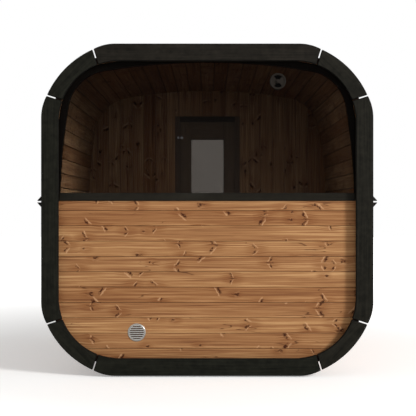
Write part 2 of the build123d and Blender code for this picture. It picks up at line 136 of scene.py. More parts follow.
def cut(blank, planes):
    """A piece sawn from a blank: what lies beyond each plane (point, direction) goes."""
    piece = blank.copy()
    piece.data = blank.data.copy()
    bpy.context.collection.objects.link(piece)
    only(piece)
    bpy.ops.object.mode_set(mode="EDIT")
    for point, direction in planes:
        bpy.ops.mesh.select_all(action="SELECT")
        bpy.ops.mesh.bisect(plane_co=point, plane_no=direction, use_fill=True, clear_outer=True)
    bpy.ops.object.mode_set(mode="OBJECT")
    return piece


def groove_side(face_point, back_point, side, half_width):
    """The planes of one long edge of a board: the joint and a shallow bevel to each face."""
    through = (face_point - back_point).normalized()
    lean = half_width / GROOVE_DEPTH
    return [
        (face_point, side),
        (face_point - through * GROOVE_DEPTH, side + through * lean),
        (back_point + through * GROOVE_DEPTH, side - through * lean),
    ]


def ease(piece, width, segments=1, angle=30):
    """Takes the sharpness off a piece's edges."""
    only(piece)
    bpy.ops.object.modifier_add(type="BEVEL")
    bevel = piece.modifiers[-1]
    bevel.width = width
    bevel.segments = segments
    bevel.limit_method = "ANGLE"
    bevel.angle_limit = radians(angle)
    bpy.ops.object.modifier_apply(modifier=bevel.name)


PATTERN_BLOCK = 40
END_GRAIN_FROM = 0.5
BEVEL_FROM = 0.1
BEVEL_TO = 0.95


def lay_grain(board, along, across, number, shade=None, joint_oil_and_shade=0.0):
    """Stores each point's place along, across and through its own length of timber, the
    tone of that timber, and how dark each face is painted: end grain fully, and the bevels at
    a joint by this share. The dark is partly oil soaked into the wood and partly painted shade
    in the joints and in the gaps between the trim boards. A tone given instead of a random
    one paints light and shade, as on the trim. Each number is a timber from another place."""
    chance = Random(number)
    shift = Vector([chance.uniform(0, PATTERN_BLOCK) for _ in range(3)])
    middle = sum((Vector(corner) for corner in board.bound_box), Vector()) / 8
    through = along.cross(across)
    board.data.attributes.new("grain", "FLOAT_VECTOR", "POINT")
    board.data.attributes.new("tone", "FLOAT", "POINT")
    board.data.attributes.new("oil_and_painted_shade", "FLOAT", "FACE")
    grain, tone, oil_and_painted_shade = (board.data.attributes[name] for name in ("grain", "tone", "oil_and_painted_shade"))
    share = chance.random() if shade is None else shade
    for point, vertex in enumerate(board.data.vertices):
        away = vertex.co - middle
        place = Vector((away.dot(along), away.dot(across), away.dot(through)))
        grain.data[point].vector = place + shift
        tone.data[point].value = share
    for face in board.data.polygons:
        bevelled = BEVEL_FROM < abs(face.normal.dot(through)) < BEVEL_TO
        end_grain = abs(face.normal.dot(along)) > END_GRAIN_FROM
        oil_and_painted_shade.data[face.index].value = 1.0 if end_grain else joint_oil_and_shade * bevelled


def join(pieces, name):
    """Makes one object of several pieces of the same kind."""
    only(*pieces)
    bpy.ops.object.join()
    pieces[0].name = name
    pieces[0].data.name = name
    return pieces[0]


def coat(piece, material):
    """Gives a piece its material."""
    piece.data.materials.clear()
    piece.data.materials.append(material)


def fit(piece, material, body, slot, *nodes):
    """Gives a new piece its body, its finish and the nodes it stands for."""
    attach(piece, body)
    coat(piece, material)
    if nodes:
        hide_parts(*nodes)


def timber_place(tree):
    """A point's place in its length of timber, and its timber's tone from 0 to 1; on the
    trim the tones are given and paint light and shade.
    """
    grain = add_node(tree, "Attribute", attribute_name="grain")
    tone = add_node(tree, "Attribute", attribute_name="tone")
    return grain.outputs["Vector"], tone.outputs["Fac"]


def band(tree, value, middle, near, far):
    """1 where a value is this near to the middle, falling to 0 where it is far from it."""
    off = add_node(tree, "Math", [value, middle], operation="SUBTRACT")
    off = add_node(tree, "Math", [off], operation="ABSOLUTE")
    return add_node(tree, "MapRange", [off, near, far, 1.0, 0.0], **SMOOTHLY)


KNOT_WANDER = 0.024
KNOT_SIZES = (0.7, 1.6)
TAIL_WIDTH = 0.0042
TAILED_FROM = 0.62
PALE_LINE_AT = 1.75


def knots(tree, place, spacing, share, reach, width, lean):
    """Knots sawn lengthways: a pair of arms that lean away from the pith and widen outwards,
    dark at the core, with a pale line along their outer side. Some have a dark tail along the
    grain. Spacing, reach and width are in metres, the lean in degrees. Gives the dark share,
    the pale share, how darkened the wood is round about and how far the grain is pushed."""
    cells = add_node(tree, "VectorMath", [place, (*spacing, 1)], operation="DIVIDE")
    cells = add_node(
        tree, "TexVoronoi", {"Vector": cells, "Scale": 1.0, "Randomness": 0.95},
        voronoi_dimensions="2D",
    )
    chance = add_node(tree, "SeparateColor", [cells.outputs["Color"]])
    centre = add_node(
        tree, "VectorMath", [cells.outputs["Position"], (*spacing, 0)], operation="MULTIPLY"
    )
    away = add_node(tree, "VectorMath", [place, centre], operation="SUBTRACT")
    # Each arm wanders a little, and its side, size and lean are by chance. A MapRange node
    # takes a value, the range that it lies in and the range that it is brought to.
    stray = add_node(tree, "TexNoise", {"Vector": place, "Scale": 55.0, "Detail": 3.0})
    stray = add_node(
        tree, "VectorMath", [stray.outputs["Color"], (0.5, 0.5, 0.5)], operation="SUBTRACT"
    )
    stray = add_node(tree, "VectorMath", {0: stray, "Scale": KNOT_WANDER}, operation="SCALE")
    strayed = add_node(tree, "VectorMath", [away, stray], operation="ADD")
    bent = add_node(tree, "SeparateXYZ", [strayed])
    side = add_node(tree, "Math", [chance.outputs[0], 0.5], operation="GREATER_THAN")
    side = add_node(tree, "MapRange", [side, 0.0, 1.0, -1.0, 1.0])
    size = add_node(tree, "Math", [chance.outputs[0], 7.3], operation="MULTIPLY")
    size = add_node(tree, "Math", [size], operation="FRACT")
    size = add_node(tree, "MapRange", [size, 0.0, 1.0, *KNOT_SIZES])
    along = add_node(tree, "Math", [bent.outputs[0], side], operation="MULTIPLY")
    along = add_node(tree, "Math", [along, size], operation="DIVIDE")
    across = add_node(tree, "Math", [bent.outputs[1]], operation="ABSOLUTE")
    across = add_node(tree, "Math", [across, size], operation="DIVIDE")
    folded = add_node(tree, "CombineXYZ", [along, across])
    lowest, highest = (-radians(angle) for angle in lean)
    angle = add_node(tree, "MapRange", [chance.outputs[1], 0.0, 1.0, lowest, highest])
    turned = add_node(tree, "VectorRotate", {"Vector": folded, "Angle": angle},
                      rotation_type="Z_AXIS")
    turned = add_node(tree, "SeparateXYZ", [turned])
    # The core is a long ring that widens outwards and breaks up into patches.
    out = add_node(tree, "Math", [turned.outputs[0], reach], operation="DIVIDE")
    from_core = add_node(tree, "Math", [out, 2.1, -1.3], operation="MULTIPLY_ADD")
    beside = add_node(tree, "Math", [turned.outputs[1], width], operation="DIVIDE")
    widening = add_node(tree, "Math", [out, 0.7, 0.6], operation="MULTIPLY_ADD")
    beside_core = add_node(tree, "Math", [beside, widening], operation="DIVIDE")
    ring = add_node(tree, "CombineXYZ", [from_core, beside_core])
    ring = add_node(tree, "VectorMath", [ring], operation="LENGTH").outputs["Value"]
    patches = add_node(tree, "TexNoise", {"Vector": place, "Scale": 70.0, "Detail": 1.0})
    patches = add_node(tree, "MapRange", [patches, 0.34, 0.52, 0.25, 1.0], **SMOOTHLY)
    there = add_node(tree, "Math", [chance.outputs[2], 1 - share], operation="GREATER_THAN")
    core = add_node(tree, "MapRange", [ring, 0.4, 1.25, 1.0, 0.0], **SMOOTHLY)
    core = add_node(tree, "Math", [core, patches], operation="MULTIPLY")
    # The tail runs through the middle of some pairs of arms.
    tail = add_node(tree, "VectorMath", [strayed, (0.9 / reach, 1 / TAIL_WIDTH, 0)],
                    operation="MULTIPLY")
    tail = add_node(tree, "VectorMath", [tail], operation="LENGTH").outputs["Value"]
    tail = add_node(tree, "MapRange", [tail, 0.2, 1.0, 0.85, 0.0], **SMOOTHLY)
    tailed = add_node(tree, "Math", [chance.outputs[1], TAILED_FROM], operation="GREATER_THAN")
    tail = add_node(tree, "Math", [tail, tailed], operation="MULTIPLY")
    core = add_node(tree, "Math", [core, tail], operation="MAXIMUM")
    # The pale line lies beside the core and ends where the arm does.
    line = band(tree, beside, PALE_LINE_AT, 0.1, 0.68)
    ending = band(tree, out, 0.6, 0.35, 0.75)
    rim = add_node(tree, "Math", [line, ending], operation="MULTIPLY")
    # Round about, the wood is darker and the grain is pushed aside.
    spread = add_node(tree, "VectorMath", [away, (0.6, 1.0, 0.0)], operation="MULTIPLY")
    spread = add_node(tree, "VectorMath", [spread], operation="LENGTH").outputs["Value"]
    about = add_node(tree, "MapRange", [spread, reach * 0.4, reach * 1.5, 1.0, 0.0],
                     **SMOOTHLY)
    near = add_node(tree, "MapRange", [spread, 0.0, reach * 1.3, 0.6, 0.0], **SMOOTHLY)
    dark, pale, shade, near = (
        add_node(tree, "Math", [part, there], operation="MULTIPLY")
        for part in (core, rim, about, near)
    )
    sideways = add_node(tree, "SeparateXYZ", [away]).outputs[1]
    push = add_node(tree, "Math", [near, sideways], operation="MULTIPLY")
    return dark, pale, shade, push


# Heat-treated pine, planed and oiled: an even brown with straight growth rings about 9 mm
# apart on the face, lighter and darker from board to board, with small hard knots and here
# and there a long resin streak. The fibres are drawn 7 mm wide, far coarser than real ones,
# so that they show. End grain is painted near-black, partly its own soaked tone and partly
# painted shade for the deep gaps between the trim boards, and the staves' inner face is
# painted dark as far as the end walls, as painted shade under the trim.
PAINTED_SHADE_FROM = 1.0442
RING_SPACING = 0.009
RING_COLOURS = ((0.39, "#7f5436"), (0.46, "#996b46"), (0.53, "#ab7e54"), (0.60, "#c3976b"))
DARKENED_SHARE, PALE_LINE_SHARE = 0.45, 0.6

pine, wood = new_material("heat_treated_pine")
place, tone = timber_place(wood)
spikes = knots(
    wood, place, spacing=(0.31, 0.115), share=0.60, reach=0.045, width=0.0072, lean=(36, 70)
)
pins = knots(
    wood, place, spacing=(0.33, 0.12), share=0.34, reach=0.030, width=0.0062, lean=(0, 14)
)
push = add_node(wood, "Math", [spikes[3], pins[3]], operation="ADD")
push = add_node(wood, "CombineXYZ", {1: push})
flowing = add_node(wood, "VectorMath", [place, push], operation="SUBTRACT")
# Four patterns drawn out along the grain. A row is how many to a metre along, across and
# through it, then the scale, detail and roughness.
patterns = []
for per_metre, scale, detail, roughness in (
    ((1.1, 1 / RING_SPACING, 20), 0.7, 4.0, 0.62),
    ((1.3, 22, 8), 1.0, 3.0, 0.5),
    ((2.5, 150, 90), 1.0, 3.0, 0.5),
    ((2.2, 24, 12), 1.0, 1.0, 0.5),
):
    drawn = add_node(wood, "Mapping", {"Vector": flowing, "Scale": per_metre})
    drawn = add_node(wood, "TexNoise", {"Vector": drawn, "Scale": scale, "Detail": detail,
                                        "Roughness": roughness})
    patterns.append(drawn)
streaks, broad, fibres, resin = patterns
rings = 0.0
for pattern, share in ((streaks, 0.34), (broad, 0.24), (fibres, 0.42)):
    rings = add_node(wood, "Math", [pattern, share, rings], operation="MULTIPLY_ADD")
rings = add_node(wood, "ValToRGB", {"Fac": rings})
for stop_at, colour in RING_COLOURS:
    rings.color_ramp.elements.new(stop_at).color = linear(colour)
# The two stops that the ramp came with go.
rings.color_ramp.elements.remove(rings.color_ramp.elements[0])
rings.color_ramp.elements.remove(rings.color_ramp.elements[-1])
tint = add_node(wood, "ValToRGB", {"Fac": tone})
tint.color_ramp.elements[0].color = linear("#d2bdac")
tint.color_ramp.elements[1].color = linear("#fffffa")
tint.color_ramp.elements.new(0.5).color = linear("#f3efea")
# Inputs 0, 6 and 7 of a Mix node are its share and its two colours.
tinted = add_node(wood, "Mix", {0: 1.0, 6: rings, 7: tint}, data_type="RGBA",
                  blend_type="MULTIPLY")
# A streak of resin, in the few places where a broader pattern allows one.
resin = band(wood, resin, 0.5, 0.002, 0.010)
seldom = add_node(wood, "Mapping", {"Vector": place, "Scale": (2.0, 9, 1)})
seldom = add_node(wood, "TexNoise", {"Vector": seldom, "Scale": 1.0, "Detail": 0.0})
seldom = add_node(wood, "MapRange", [seldom, 0.62, 0.70, 0.0, 0.7], **SMOOTHLY)
resin = add_node(wood, "Math", [resin, seldom], operation="MULTIPLY")
shade = add_node(wood, "Math", [spikes[2], pins[2]], operation="MAXIMUM")
shade = add_node(wood, "Math", [shade, DARKENED_SHARE], operation="MULTIPLY")
pale = add_node(wood, "Math", [pins[1], 0.3, spikes[1]], operation="MULTIPLY_ADD")
pale = add_node(wood, "Math", [pale, PALE_LINE_SHARE], operation="MULTIPLY")
dark = add_node(wood, "Math", [spikes[0], pins[0]], operation="MAXIMUM")
dark = add_node(wood, "Math", [dark, resin], operation="MAXIMUM")
# The end grain and joint bevels, dark partly from oil and partly as painted shade, and painted
# shade on the staves' inner face at both ends.
end_grain_and_shade = add_node(wood, "Attribute", attribute_name="oil_and_painted_shade").outputs["Fac"]
spot = add_node(wood, "TexCoord").outputs["Object"]
from_axis = add_node(wood, "VectorMath", [spot, (0, 0, axis_height)], operation="SUBTRACT")
from_axis = add_node(wood, "VectorMath", [from_axis, (1, 0, 1)], operation="MULTIPLY")
facing = add_node(wood, "NewGeometry").outputs["True Normal"]
outwards = add_node(wood, "VectorMath", [from_axis, facing], operation="DOT_PRODUCT")
inwards = add_node(wood, "Math", [outwards.outputs["Value"], -0.2], operation="LESS_THAN")
from_middle = add_node(wood, "SeparateXYZ", [spot]).outputs[1]
from_middle = add_node(wood, "Math", [from_middle], operation="ABSOLUTE")
at_end = add_node(wood, "Math", [from_middle, PAINTED_SHADE_FROM], operation="GREATER_THAN")
at_end = add_node(wood, "Math", [at_end, inwards], operation="MULTIPLY")
end_grain_and_shade = add_node(wood, "Math", [end_grain_and_shade, at_end], operation="MAXIMUM")
# Over the rings lie in turn the darker wood round a knot, the knot's pale line, its core and
# the resin, and the dark ends and joint bevels, partly oil and partly painted shade.
for amount, colour in (
    (shade, "#7b4a28"), (pale, "#cda077"), (dark, "#3f1c0a"), (end_grain_and_shade, "#2a1a0e")
):
    tinted = add_node(wood, "Mix", {0: amount, 6: tinted, 7: linear(colour)}, data_type="RGBA")
relief = add_node(wood, "Math", [streaks, fibres], operation="ADD")
relief = add_node(wood, "Bump", {"Height": relief, "Strength": 0.35, "Distance": 0.0006})
sheen = add_node(wood, "MapRange", [streaks, 0.0, 1.0, 0.5, 0.68], **SMOOTHLY)
surface = add_node(wood, "BsdfPrincipled", {"Base Color": tinted, "Roughness": sheen,
                                            "Normal": relief, "Specular IOR Level": 0.12})
add_node(wood, "OutputMaterial", {"Surface": surface})


def stave_joints(blank):
    """The joint points at a stave group's end, inner and outer face, from side to side."""
    at_end = [v.co for v in blank.data.vertices if v.co.y < barrel_low.y + EASED_EDGE]
    middle = sum(at_end, Vector()) / len(at_end)
    turned = atan2(middle.z - axis_height, middle.x)

    def sweep(point):
        angle = atan2(point.z - axis_height, point.x) - turned
        return (angle + pi) % (2 * pi)

    def from_axis(point):
        return (point.x**2 + (point.z - axis_height) ** 2) ** 0.5

    ordered = sorted(at_end, key=sweep)
    pairs = zip(ordered[::2], ordered[1::2])
    return [sorted((a.copy(), b.copy()), key=from_axis) for a, b in pairs]


number = 0
for side in BARREL_SIDES:
    blank = closed_copy(side + "_staves")
    joints = stave_joints(blank)
    staves = []
    for (inner, outer), (next_inner, next_outer) in zip(joints, joints[1:]):
        across = (next_inner - inner).normalized()
        planes = []
        for back, face, outwards in ((inner, outer, -across), (next_inner, next_outer, across)):
            edge = (face - back).cross(TO_THE_BACK).normalized()
            edge *= 1 if edge.dot(outwards) > 0 else -1
            planes += groove_side(face, back, edge, STAVE_GROOVE_HALF)
        stave = cut(blank, planes)
        ease(stave, EASED_EDGE)
        lay_grain(stave, TO_THE_BACK, across, number, joint_oil_and_shade=STAVE_JOINT_OIL_AND_SHADE)
        number += 1
        staves.append(stave)
    bpy.data.objects.remove(blank)
    fit(join(staves, side + "_stave_boards"), pine, "cabin", "staves", side + "_staves")

# Four cross beams carry the barrel on the ground. They are planed pine, stained dark, with
# their top edge sawn to the barrel's underside and notched over the hoops.
BEAM_EASED_EDGE = 0.003


def timbers(node, along, eased, name, number, shade=None):
    """The lengths of timber that a node stands for, level across the cabin or upright, with
    eased edges and their grain laid."""
    across = TO_THE_RIGHT if along == UPWARDS else UPWARDS
    only(closed_copy(node))
    bpy.ops.mesh.separate(type="LOOSE")
    lengths = sorted(bpy.context.selected_objects, key=lambda o: tuple(o.bound_box[0]))
    for count, length in enumerate(lengths):
        ease(length, eased, segments=2)
        lay_grain(length, along, across, number + count, shade)
    return join(lengths, name)


def stained_pine(name, dark, light, roughness, mirroring=0.06):
    """Planed pine under a dark stain or a thin paint: flat in colour, with the grain just
    showing as slightly lighter streaks, and darker on the eased edges, partly where the stain
    gathers and partly as painted shade. The open, soaked surface scatters light and hardly
    shines."""
    material, tree = new_material(name)
    place, tone = timber_place(tree)
    lines = add_node(tree, "Mapping", {"Vector": place, "Scale": (3.0, 1 / RING_SPACING, 40)})
    lines = add_node(tree, "TexNoise", {"Vector": lines, "Scale": 0.9, "Detail": 5.0,
                                        "Roughness": 0.7})
    cloud = add_node(tree, "TexNoise", {"Vector": place, "Scale": 24.0, "Detail": 4.0,
                                        "Roughness": 0.6})
    amount = add_node(tree, "Math", [lines, 0.6], operation="MULTIPLY")
    amount = add_node(tree, "Math", [cloud, 0.4, amount], operation="MULTIPLY_ADD")
    amount = add_node(tree, "MapRange", [amount, 0.38, 0.62])
    stain = add_node(tree, "Mix", {0: amount, 6: linear(dark), 7: linear(light)},
                     data_type="RGBA")
    # The timber's tone tints the stain from board to board; on the trim the given tones are
    # painted light and shade.
    batch_tone_and_painted_light = add_node(tree, "ValToRGB", {"Fac": tone})
    batch_tone_and_painted_light.color_ramp.elements[0].color = linear("#dfe6d6")
    batch_tone_and_painted_light.color_ramp.elements[1].color = linear("#fff2ea")
    stain = add_node(tree, "Mix", {0: 1.0, 6: stain, 7: batch_tone_and_painted_light}, data_type="RGBA",
                     blend_type="MULTIPLY")
    # The eased edges turn dark: partly stain that gathers there, partly painted shade.
    facing = add_node(tree, "NewGeometry").outputs["True Normal"]
    facing = add_node(tree, "VectorMath", [facing], operation="ABSOLUTE")
    facing = add_node(tree, "SeparateXYZ", [facing])
    largest = facing.outputs[0]
    for other in facing.outputs[1:]:
        largest = add_node(tree, "Math", [largest, other], operation="MAXIMUM")
    on_edge = add_node(tree, "MapRange", [largest, 0.97, 0.99, 0.85, 0.0])
    edge_stain_and_shade = add_node(tree, "Mix", {0: on_edge, 6: stain, 7: linear("#0b0a09")},
                        data_type="RGBA")
    relief = add_node(tree, "Bump", {"Height": lines, "Strength": 0.3, "Distance": 0.0005})
    gloss = add_node(tree, "MapRange", [lines, 0.0, 1.0, roughness, roughness + 0.15])
    surface = add_node(tree, "BsdfPrincipled", {"Base Color": edge_stain_and_shade, "Roughness": gloss,
                                                "Normal": relief, "Specular IOR Level": mirroring})
    add_node(tree, "OutputMaterial", {"Surface": surface})
    return material


cradle_stain = stained_pine("dark_stained_cradle_pine", "#1d1a15", "#2b2620", roughness=0.5)
beams = timbers("cradles", TO_THE_RIGHT, BEAM_EASED_EDGE, "cradle_beams", number=100)
fit(beams, cradle_stain, "cabin", "cradle_wood", "cradles")

# Three hoops of steel strip, 30 mm wide, hold the barrel. The strip is powder coated black:
# a matt film, baked on, which shows a fine orange-peel ripple close up.
ORANGE_PEEL_PER_METRE = 700.0


def grained_skin(name, dark, light, gloss, mirroring, grain, depth, cloud, detail):
    """A skin of one colour that is a little lighter in patches, with a fine grain in it. The
    grain and the patches are counted to the metre."""
    material, tree = new_material(name)
    surface_place = add_node(tree, "TexCoord").outputs["Object"]
    bumps = add_node(tree, "TexNoise", {"Vector": surface_place, "Scale": grain, "Detail": 2.0})
    patches = add_node(tree, "TexNoise", {"Vector": surface_place, "Scale": cloud,
                                          "Detail": detail})
    shade = add_node(tree, "Mix", {0: patches, 6: linear(dark), 7: linear(light)},
                     data_type="RGBA")
    scatter = add_node(tree, "MapRange", [patches, 0.0, 1.0, *gloss])
    relief = add_node(tree, "Bump", {"Height": bumps, "Strength": depth, "Distance": 0.0002})
    surface = add_node(tree, "BsdfPrincipled", {"Base Color": shade, "Roughness": scatter,
                                                "Normal": relief, "Specular IOR Level": mirroring})
    add_node(tree, "OutputMaterial", {"Surface": surface})
    return material


coating = grained_skin("black_powder_coat", "#0e0e0e", "#1a1a19", gloss=(0.42, 0.6),
                       mirroring=0.15, grain=ORANGE_PEEL_PER_METRE, depth=0.25, cloud=18.0,
                       detail=4.0)
coat(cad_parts["hoop_bands"], coating)

# Each hoop is two half bands with a bracket welded to each end: a foot, a flange for the
# bolt and two cheeks of 3 mm plate, their edges ground off before the coating.
BRACKET_EASED_EDGE = 0.0006

brackets = closed_copy("hoop_brackets")
ease(brackets, BRACKET_EASED_EDGE)
brackets.name = "tension_brackets"
fit(brackets, coating, "cabin", "coated_steel", "hoop_brackets")

# A threaded M10 rod with a washer and a nut under each flange draws the half bands
# together. Rods, washers and nuts are coated black like the hoops.
ROD_RADIUS = 0.005
THREAD_PITCH = 0.0015
THREAD_DEPTH = 0.0008
NUT_RADIUS = 0.009
NUT_HEIGHT = 0.008
NUT_CHAMFER = 0.0011
NUT_END = 0.9
WASHER_RADIUS = 0.0105
WASHER_THICKNESS = 0.0012
WASHER_BORE = 0.0052
BRACKET_FLANGE = 0.010
HOOP_WIDTH = 0.030


def settle(piece):
    """Moves a piece's place, turn and size into its mesh."""
    only(piece)
    bpy.ops.object.transform_apply(location=True, rotation=True, scale=True)


def turned(name, centre, axis, profile, sides):
    """A round piece drawn out ring by ring. The profile lists (radius, height along the
    axis) from one end to the other, and closes on itself where its ends are the same."""
    upright = axis == "Z"
    start_radius, start = profile[0]
    along = UPWARDS if upright else TO_THE_BACK
    tilt = (0, 0, 0) if upright else (radians(-90), 0, 0)
    bpy.ops.mesh.primitive_circle_add(vertices=sides, radius=start_radius,
                                      location=centre + along * start, rotation=tilt)
    piece = bpy.context.object
    piece.name = name
    settle(piece)
    bpy.ops.object.mode_set(mode="EDIT")
    bpy.ops.mesh.select_all(action="SELECT")
    closes = profile[0] == profile[-1]
    if not closes:
        bpy.ops.mesh.edge_face_add()
    for (radius, height), (next_radius, next_height) in zip(profile, profile[1:]):
        bpy.ops.mesh.extrude_region_move(
            TRANSFORM_OT_translate={"value": along * (next_height - height)}
        )
        wider = next_radius / radius
        grown = (wider, wider, 1) if upright else (wider, 1, wider)
        bpy.ops.transform.resize(value=grown, center_override=centre + along * next_height)
    bpy.ops.mesh.select_all(action="SELECT")
    bpy.ops.mesh.remove_doubles(threshold=0.000005)
    bpy.ops.mesh.normals_make_consistent(inside=False)
    bpy.ops.object.mode_set(mode="OBJECT")
    return piece


def smooth(piece, angle=35):
    """Smooth shading over a piece's gentle bends."""
    only(piece)
    bpy.ops.object.shade_smooth_by_angle(angle=radians(angle))


def copies(piece, places):
    """Copies of a piece that is made round the origin, each with its own mesh, at places."""
    made = []
    for place in places:
        copy = piece.copy()
        copy.data = piece.data.copy()
        bpy.context.collection.objects.link(copy)
        copy.location = place
        settle(copy)
        made.append(copy)
    bpy.data.objects.remove(piece)
    return made


rod_low, rod_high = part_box("hoop_bolts")
rod_out = rod_high.x - NUT_RADIUS
rod_centre = Vector((0, 0, (rod_low.z + rod_high.z) / 2))
rod_half = (rod_high.z - rod_low.z) / 2
outer_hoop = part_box("hoop_bands")[1].y - HOOP_WIDTH / 2

thread = [(ROD_RADIUS - THREAD_DEPTH, -rod_half)]
turns = int((2 * rod_half - THREAD_PITCH) / THREAD_PITCH)
for turn_number in range(turns):
    low = -rod_half + THREAD_PITCH * (turn_number + 0.5)
    thread.append((ROD_RADIUS, low + THREAD_PITCH / 4))
    thread.append((ROD_RADIUS - THREAD_DEPTH, low + THREAD_PITCH * 3 / 4))
thread.append((ROD_RADIUS - THREAD_DEPTH, rod_half))
parts = [turned("threaded_rod", rod_centre, "Z", thread, sides=14)]
for way in (-1, 1):
    seat = way * BRACKET_FLANGE
    face = seat + way * WASHER_THICKNESS
    washer = [(WASHER_BORE, seat), (WASHER_RADIUS, seat), (WASHER_RADIUS, face),
              (WASHER_BORE, face), (WASHER_BORE, seat)]
    parts.append(turned("washer", rod_centre, "Z", washer, sides=24))
    end = face + way * NUT_HEIGHT
    chamfer = way * NUT_CHAMFER
    nut = [(NUT_RADIUS * NUT_END, face), (NUT_RADIUS, face + chamfer),
           (NUT_RADIUS, end - chamfer), (NUT_RADIUS * NUT_END, end)]
    parts.append(turned("nut", rod_centre, "Z", nut, sides=6))
rod_places = [Vector((side * rod_out, lane * outer_hoop, 0))
              for side in (1, -1) for lane in (-1, 0, 1)]
bolts = join(copies(join(parts, "bolt_set"), rod_places), "tension_bolts")
fit(bolts, coating, "cabin", "coated_steel", "hoop_bolts")

# The floor is planed pine boards, 95 mm wide with open gaps between them for air and water,
# screwed to three bearers that are sawn to the barrel.
DECK_BOARD = 0.095
DECK_GAP = 0.005
DECK_EASED_EDGE = 0.003
BEARER_EASED_EDGE = 0.002

blank = closed_copy("floor_deck")
deck_low, deck_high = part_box("floor_deck")
deck_count = round((deck_high.x - deck_low.x + DECK_GAP) / (DECK_BOARD + DECK_GAP))
deck_pitch = (deck_high.x - deck_low.x + DECK_GAP) / deck_count
deck = []
for count in range(deck_count):
    left = deck_low.x + deck_pitch * count
    right = left + deck_pitch - DECK_GAP
    sawn = [(TO_THE_RIGHT * left, -TO_THE_RIGHT), (TO_THE_RIGHT * right, TO_THE_RIGHT)]
    board = cut(blank, sawn)
    ease(board, DECK_EASED_EDGE, segments=2)
    lay_grain(board, TO_THE_BACK, TO_THE_RIGHT, number=200 + count)
    deck.append(board)
bpy.data.objects.remove(blank)
fit(join(deck, "floor_boards"), pine, "cabin", "floor_boards", "floor_deck")
bearers = timbers(
    "floor_bearers", TO_THE_RIGHT, BEARER_EASED_EDGE, "floor_bearer_beams", number=230
)
fit(bearers, pine, "cabin", "floor_boards", "floor_bearers")

# The window end's lower wall is boards laid level, 107 mm to the weather, tongued and
# grooved. They sit in a groove cut round the staves. One has the louvred vent let in.
BOARD_WIDTH = 0.107
BOARD_GROOVE_HALF = 0.0017
# The board joints' bevels are darkened by this share: partly oil, partly painted shade in the
# groove.
BOARD_JOINT_OIL_AND_SHADE = 0.1
FIRST_JOINT_BELOW_AXIS = 0.0055


def boarded(node, joints, side, along, name, number):
    """An end wall sawn into tongued and grooved boards at these places across it."""
    low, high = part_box(node)
    blank = closed_copy(node)
    boards = []
    edges = [None, *joints, None]
    for count, (first, last) in enumerate(zip(edges, edges[1:])):
        planes = []
        for place, outwards in ((first, -side), (last, side)):
            if place is not None:
                outer = side * place + TO_THE_BACK * high.y
                inner = side * place + TO_THE_BACK * low.y
                planes += groove_side(outer, inner, outwards, BOARD_GROOVE_HALF)
        board = cut(blank, planes)
        ease(board, EASED_EDGE)
        lay_grain(board, along, side, number + count, joint_oil_and_shade=BOARD_JOINT_OIL_AND_SHADE)
        boards.append(board)
    bpy.data.objects.remove(blank)
    return join(boards, name)


wall_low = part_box("rear_wall")[0]
first_joint = axis_height - FIRST_JOINT_BELOW_AXIS
count = int((first_joint - wall_low.z) / BOARD_WIDTH)
level_joints = [first_joint - BOARD_WIDTH * n for n in range(count, -1, -1)]
window_wall = boarded(
    "rear_wall", level_joints, UPWARDS, TO_THE_RIGHT, "window_end_boards", number=300
)
fit(window_wall, pine, "cabin", "wall_boards", "rear_wall")

# Over it lie the rail and the bowed window frame: pine, sawn to the barrel's curve and
# painted satin black-brown, with a groove for the pane. The frame is coloured near-black and
# barely shines, darker than the rail: painted shade for the trim's shadow over it.
FRAME_EASED_EDGE = 0.002

rail_paint = stained_pine("satin_painted_rail", "#1a1815", "#24211d", roughness=0.38)
# The frame's near-black colour is painted shade.
frame_paint_and_shade = stained_pine("satin_painted_frame_with_painted_shade", "#080605", "#0e0b0a", 0.38, mirroring=0.02)
rail = timbers("window_rail", TO_THE_RIGHT, FRAME_EASED_EDGE, "window_sill_rail", number=320)
fit(rail, rail_paint, "cabin", "window_frame", "window_rail")
for side in ("top", "left", "right", "corners"):
    node = "window_frame_" + side
    along = TO_THE_RIGHT if side == "top" else UPWARDS
    piece = timbers(node, along, FRAME_EASED_EDGE, node + "_timber", number=330)
    fit(piece, frame_paint_and_shade, "cabin", "window_frame", node)

# The window is one toughened pane, 8 mm thick, tinted a dark grey. Head on, the one in the
# photograph mirrors next to nothing, so this one mirrors far less than glass does.
WINDOW_TINT = (0.268, 0.284, 0.293)
MIRRORED_HEAD_ON = 0.0014
PANE_ROUGHNESS = 0.02


def tinted_glass(name, tint):
    """Float glass tinted in the melt: a pane with two surfaces, each of which takes the
    square root of what the whole pane takes, and mirrors more the flatter the view."""
    material, tree = new_material(name)
    clear = add_node(tree, "BsdfTransparent", {"Color": [share**0.5 for share in tint] + [1.0]})
    mirror = add_node(tree, "BsdfPrincipled", {"Base Color": (1, 1, 1, 1), "Metallic": 1.0,
                                               "Roughness": PANE_ROUGHNESS})
    facing = add_node(tree, "LayerWeight", {"Blend": 0.5}).outputs["Facing"]
    share = add_node(tree, "Math", [facing, 2.5], operation="POWER")
    share = add_node(tree, "Math", [share, 0.5, MIRRORED_HEAD_ON], operation="MULTIPLY_ADD")
    both = add_node(tree, "MixShader", [share, clear, mirror])
    add_node(tree, "OutputMaterial", {"Surface": both})
    return material


dark_grey = tinted_glass("dark_grey_float_glass", WINDOW_TINT)
coat(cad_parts["window_glass"], dark_grey)

# The round valve in the pane is moulded in dark polypropylene: two discs clamped through
# the glass, dished between the rim and the knob, with two windows that a turn opens.
VALVE_DISH_INNER = 0.0135
VALVE_DISH_OUTER = 0.047
VALVE_DISH_DEPTH = 0.0022
VALVE_FLANGE = 0.006
CUTTER_CLEARANCE = 0.002
VALVE_EASED_EDGE = 0.0012
PITS_PER_METRE = 1400.0


